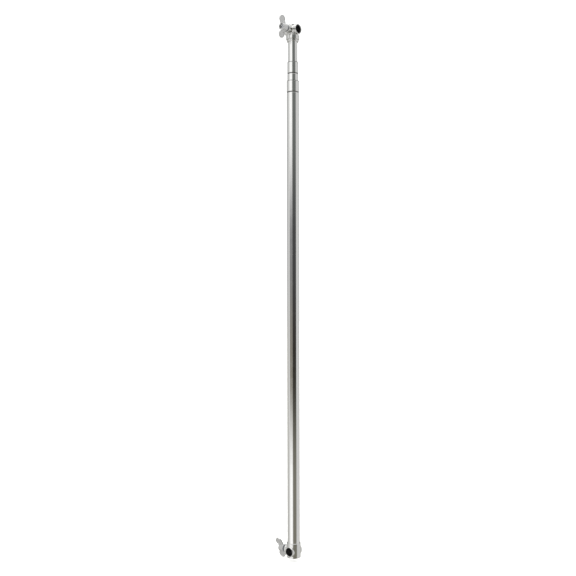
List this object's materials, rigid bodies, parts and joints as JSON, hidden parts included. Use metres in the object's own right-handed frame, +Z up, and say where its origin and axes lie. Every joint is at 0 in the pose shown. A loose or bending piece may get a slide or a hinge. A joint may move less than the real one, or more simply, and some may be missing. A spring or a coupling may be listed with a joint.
{
  "type": "window security bar",
  "caption": "Telescopic chromed window security bar with twist locks inside and a cross socket with a wing screw at each end.",
  "frame": {"origin": "centre of the lower cross socket's bore, on the bar's axis", "axes": "+Z up the bar from the lower socket to the upper one; Y along the lower socket's bore; X along the upper socket's bore when the stages are not twisted; the lower wing screw points to -X and the upper one to -Y"},
  "size_m": [0.0566, 0.0566, 1.0894],
  "materials": {
    "chromed_tube": "mirror chrome plate on steel tube",
    "zinc_casting": "satin chrome plate on zinc die casting",
    "zinc_plated_steel": "bright zinc plate on turned and rolled steel",
    "steel_rivet": "upset steel",
    "black_nylon": "moulded nylon",
    "black_rubber": "moulded rubber",
    "plug_plastic": "moulded glass-filled nylon",
    "white_acetal": "moulded acetal"
  },
  "bodies": {
    "outer_stage": {"outer_tube": "chromed_tube", "outer_bush": "black_nylon", "lower_head": "zinc_casting", "lower_liner": "black_nylon", "lower_rivet": "steel_rivet"},
    "lower_pad": {"lower_pad": "black_rubber"},
    "lower_screw": {"lower_stud": "zinc_plated_steel", "lower_washer": "zinc_plated_steel", "lower_wing": "zinc_casting"},
    "middle_guide": {"middle_guide_ring": "white_acetal"},
    "middle_stage": {"middle_tube": "chromed_tube", "middle_bush": "black_nylon", "middle_plug": "plug_plastic", "middle_plug_pin": "zinc_plated_steel", "middle_lock_screw": "zinc_plated_steel"},
    "middle_cam": {"middle_cam_ring": "white_acetal"},
    "inner_guide": {"inner_guide_ring": "white_acetal"},
    "inner_stage": {"inner_tube": "chromed_tube", "inner_plug": "plug_plastic", "inner_plug_pin": "zinc_plated_steel", "inner_lock_screw": "zinc_plated_steel", "upper_head": "zinc_casting", "upper_ferrule": "zinc_casting", "upper_liner": "black_nylon", "upper_rivet": "steel_rivet"},
    "inner_cam": {"inner_cam_ring": "white_acetal"},
    "upper_pad": {"upper_pad": "black_rubber"},
    "upper_screw": {"upper_stud": "zinc_plated_steel", "upper_washer": "zinc_plated_steel", "upper_wing": "zinc_casting"}
  },
  "joints": [
    {"name": "middle_slide", "type": "slide", "parent": "outer_stage", "child": "middle_guide", "axis": [0, 0, 1], "range_m": [0, 0.843]},
    {"name": "middle_twist", "type": "hinge", "parent": "middle_guide", "child": "middle_stage", "pos_m": [0, 0, 0.07475], "axis": [0, 0, 1], "continuous": true},
    {"name": "middle_cam_turn", "type": "hinge", "parent": "middle_stage", "child": "middle_cam", "pos_m": [0.001, 0, 0.07475], "axis": [0, 0, 1], "range_deg": [-15, 15]},
    {"name": "inner_slide", "type": "slide", "parent": "middle_stage", "child": "inner_guide", "axis": [0, 0, 1], "range_m": [0, 0.816]},
    {"name": "inner_twist", "type": "hinge", "parent": "inner_guide", "child": "inner_stage", "pos_m": [0, 0, 0.13945], "axis": [0, 0, 1], "continuous": true},
    {"name": "inner_cam_turn", "type": "hinge", "parent": "inner_stage", "child": "inner_cam", "pos_m": [0.001, 0, 0.13945], "axis": [0, 0, 1], "range_deg": [-15, 15]},
    {"name": "lower_pad_travel", "type": "slide", "parent": "outer_stage", "child": "lower_pad", "axis": [1, 0, 0], "range_m": [-0.00125, 0.002]},
    {"name": "lower_screw_turn", "type": "hinge", "parent": "lower_pad", "child": "lower_screw", "pos_m": [-0.02, 0, 0], "axis": [1, 0, 0], "range_deg": [-360, 576]},
    {"name": "upper_pad_travel", "type": "slide", "parent": "inner_stage", "child": "upper_pad", "axis": [0, 1, 0], "range_m": [-0.00125, 0.002]},
    {"name": "upper_screw_turn", "type": "hinge", "parent": "upper_pad", "child": "upper_screw", "pos_m": [0, -0.02, 1.0453], "axis": [0, 1, 0], "range_deg": [-360, 576]}
  ],
  "couplings": [
    {"joint": "lower_pad_travel", "follows": "lower_screw_turn", "m_per_rad": 0.00019894},
    {"joint": "upper_pad_travel", "follows": "upper_screw_turn", "m_per_rad": 0.00019894}
  ]
}
